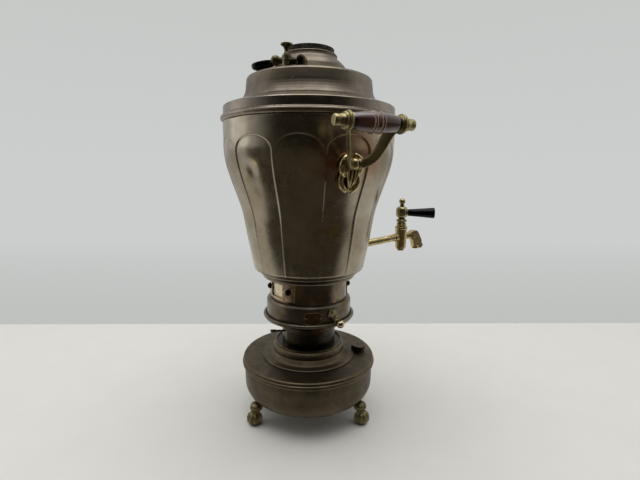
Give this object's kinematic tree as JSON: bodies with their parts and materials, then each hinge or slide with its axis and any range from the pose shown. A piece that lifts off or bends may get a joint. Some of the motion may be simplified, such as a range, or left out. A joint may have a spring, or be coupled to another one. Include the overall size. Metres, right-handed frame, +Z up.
{
  "type": "paraffin samovar",
  "caption": "Tall fluted samovar on a round oil lamp with paw feet, with a side tap, two turned handles, a stepped lid and a central flue.",
  "frame": {"origin": "on the table, on the upright axis of the tank, the vessel and the flue", "axes": "+Z up along the flue, -Y towards the tap, +X and -X towards the two handles"},
  "size_m": [0.3792, 0.3547, 0.5566],
  "materials": {
    "tank": "dark brown patinated sheet brass",
    "burner": "sooty brown-grey patinated brass",
    "vessel": "satin grey-brown patinated brass",
    "rim": "satin patinated brass, edges rubbed bright",
    "lid": "satin patinated brass",
    "drum": "heat-darkened sheet brass with rust-brown tints",
    "window": "coppery tarnished plate",
    "cast_brass": "worn cast brass, brown in the hollows",
    "arm": "dark olive cast brass",
    "fitting": "dull turned brass",
    "tap": "worn golden cast brass",
    "feet": "olive brown cast brass",
    "plate": "thin tarnished brass plate",
    "grip": "dark red-brown lacquered turned wood",
    "black": "gloss black ebonite",
    "soot": "sooty blackened sheet",
    "mica": "clouded yellowish mica",
    "wick": "woven cotton"
  },
  "bodies": {
    "lamp": {"tank_bowl": "tank", "tank_cover": "tank", "paw_foot_rear": "feet", "paw_foot_left": "feet", "paw_foot_right": "feet", "filler_neck": "tank", "burner_base": "burner", "wick_tube": "fitting", "air_tube": "fitting", "spindle_bearing": "fitting", "burner_basket": "burner", "gallery_plate": "burner", "flame_spreader": "fitting"},
    "filler_cap": {"filler_cap": "tank"},
    "spindle": {"wick_spindle": "burner", "spindle_pinion": "fitting"},
    "wick": {"wick": "wick"},
    "vessel": {"gallery_skirt": "burner", "oval_plate": "plate", "plate_rivets": "fitting", "latch_bracket": "fitting", "latch_pin": "fitting", "drum": "drum", "window_plates": "window", "mica_panes": "mica", "window_studs": "black", "base_ring": "vessel", "body_shell": "vessel", "vessel_floor": "vessel", "flue_cone": "soot", "flue_tube": "soot", "chimney_collar": "soot", "rim_band": "rim", "handle_root_left": "cast_brass", "handle_root_right": "cast_brass", "handle_arms_left": "arm", "handle_arms_right": "arm", "handle_grip_left": "grip", "handle_grip_right": "grip", "handle_rods": "fitting", "handle_nuts": "fitting", "handle_ferrules": "fitting", "handle_pins": "fitting", "tap_shank": "tap", "shank_collar": "tap", "tap_lock_nut": "tap", "tap_barrel": "tap"},
    "latch": {"latch_lever": "cast_brass", "latch_ball": "cast_brass"},
    "tap_key": {"tap_plug": "tap", "tap_lever": "black", "tap_finial": "fitting", "plug_nut": "tap"},
    "lid": {"lid_shell": "lid", "lid_knobs": "black", "lid_studs": "fitting", "vent_body": "fitting"},
    "vent_key": {"vent_key": "fitting"}
  },
  "joints": [
    {"name": "vessel_lift", "type": "slide", "parent": "lamp", "child": "vessel", "axis": [0, 0, 1], "range_m": [0, 0.12]},
    {"name": "lid_lift", "type": "slide", "parent": "vessel", "child": "lid", "axis": [0, 0, 1], "range_m": [0, 0.09]},
    {"name": "filler_cap_lift", "type": "slide", "parent": "lamp", "child": "filler_cap", "axis": [0, 0, 1], "range_m": [0, 0.02]},
    {"name": "spindle_turn", "type": "hinge", "parent": "lamp", "child": "spindle", "pos_m": [-0.01882, 0.00648, 0.1418], "axis": [0.3256, 0.9455, 0], "range_deg": [-49, 147]},
    {"name": "wick_rise", "type": "slide", "parent": "lamp", "child": "wick", "axis": [0, 0, 1], "range_m": [-0.012, 0.004]},
    {"name": "latch_turn", "type": "hinge", "parent": "vessel", "child": "latch", "pos_m": [-0.06571, -0.00807, 0.1824], "axis": [-0.9925, -0.1219, 0], "range_deg": [0, 100]},
    {"name": "tap_turn", "type": "hinge", "parent": "vessel", "child": "tap_key", "pos_m": [0, -0.175, 0.2751], "axis": [0, 0, 1], "range_deg": [-58, 32]},
    {"name": "vent_turn", "type": "hinge", "parent": "lid", "child": "vent_key", "pos_m": [-0.03731, 0.04952, 0.52869], "axis": [0, 0, 1], "range_deg": [0, 90]}
  ],
  "couplings": [
    {"joint": "spindle_turn", "follows": "wick_rise", "rad_per_m": -212.77}
  ]
}
